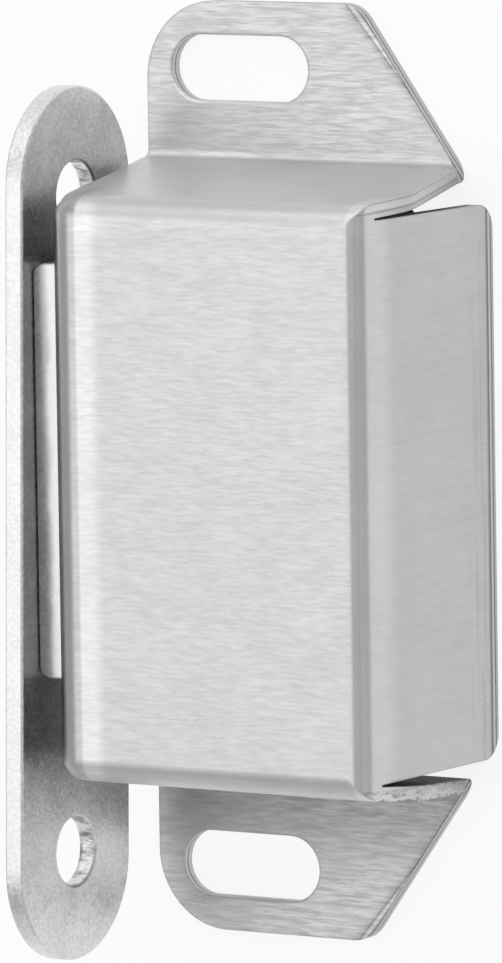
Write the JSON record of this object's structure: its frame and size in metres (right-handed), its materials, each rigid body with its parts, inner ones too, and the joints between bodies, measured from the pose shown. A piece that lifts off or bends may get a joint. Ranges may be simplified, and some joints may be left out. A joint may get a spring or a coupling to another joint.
{
  "type": "magnetic catch",
  "caption": "Folded sheet magnetic cabinet catch with two slotted ears, a magnet between pole plates and a flat strike plate held on the poles.",
  "frame": {"origin": "midway between the two ear slots, in the mounting plane at the backs of the ears", "axes": "+Z away from the surface the catch is screwed to, +Y along the casing from ear to ear, -X towards the strike plate"},
  "size_m": [0.0266, 0.0589, 0.016],
  "materials": {
    "casing": "horizontally brushed, bright",
    "magnet": "matte ceramic ferrite",
    "poles": "bright zinc plated",
    "strike_plate": "grainy matte"
  },
  "bodies": {
    "catch": {"casing": "casing", "magnet": "magnet", "front_pole_plate": "poles", "back_pole_plate": "poles"},
    "strike": {"strike_plate": "strike_plate"}
  },
  "joints": [
    {"name": "strike_pull_off", "type": "slide", "parent": "catch", "child": "strike", "axis": [-1, 0, 0], "range_m": [0, 0.03]}
  ]
}
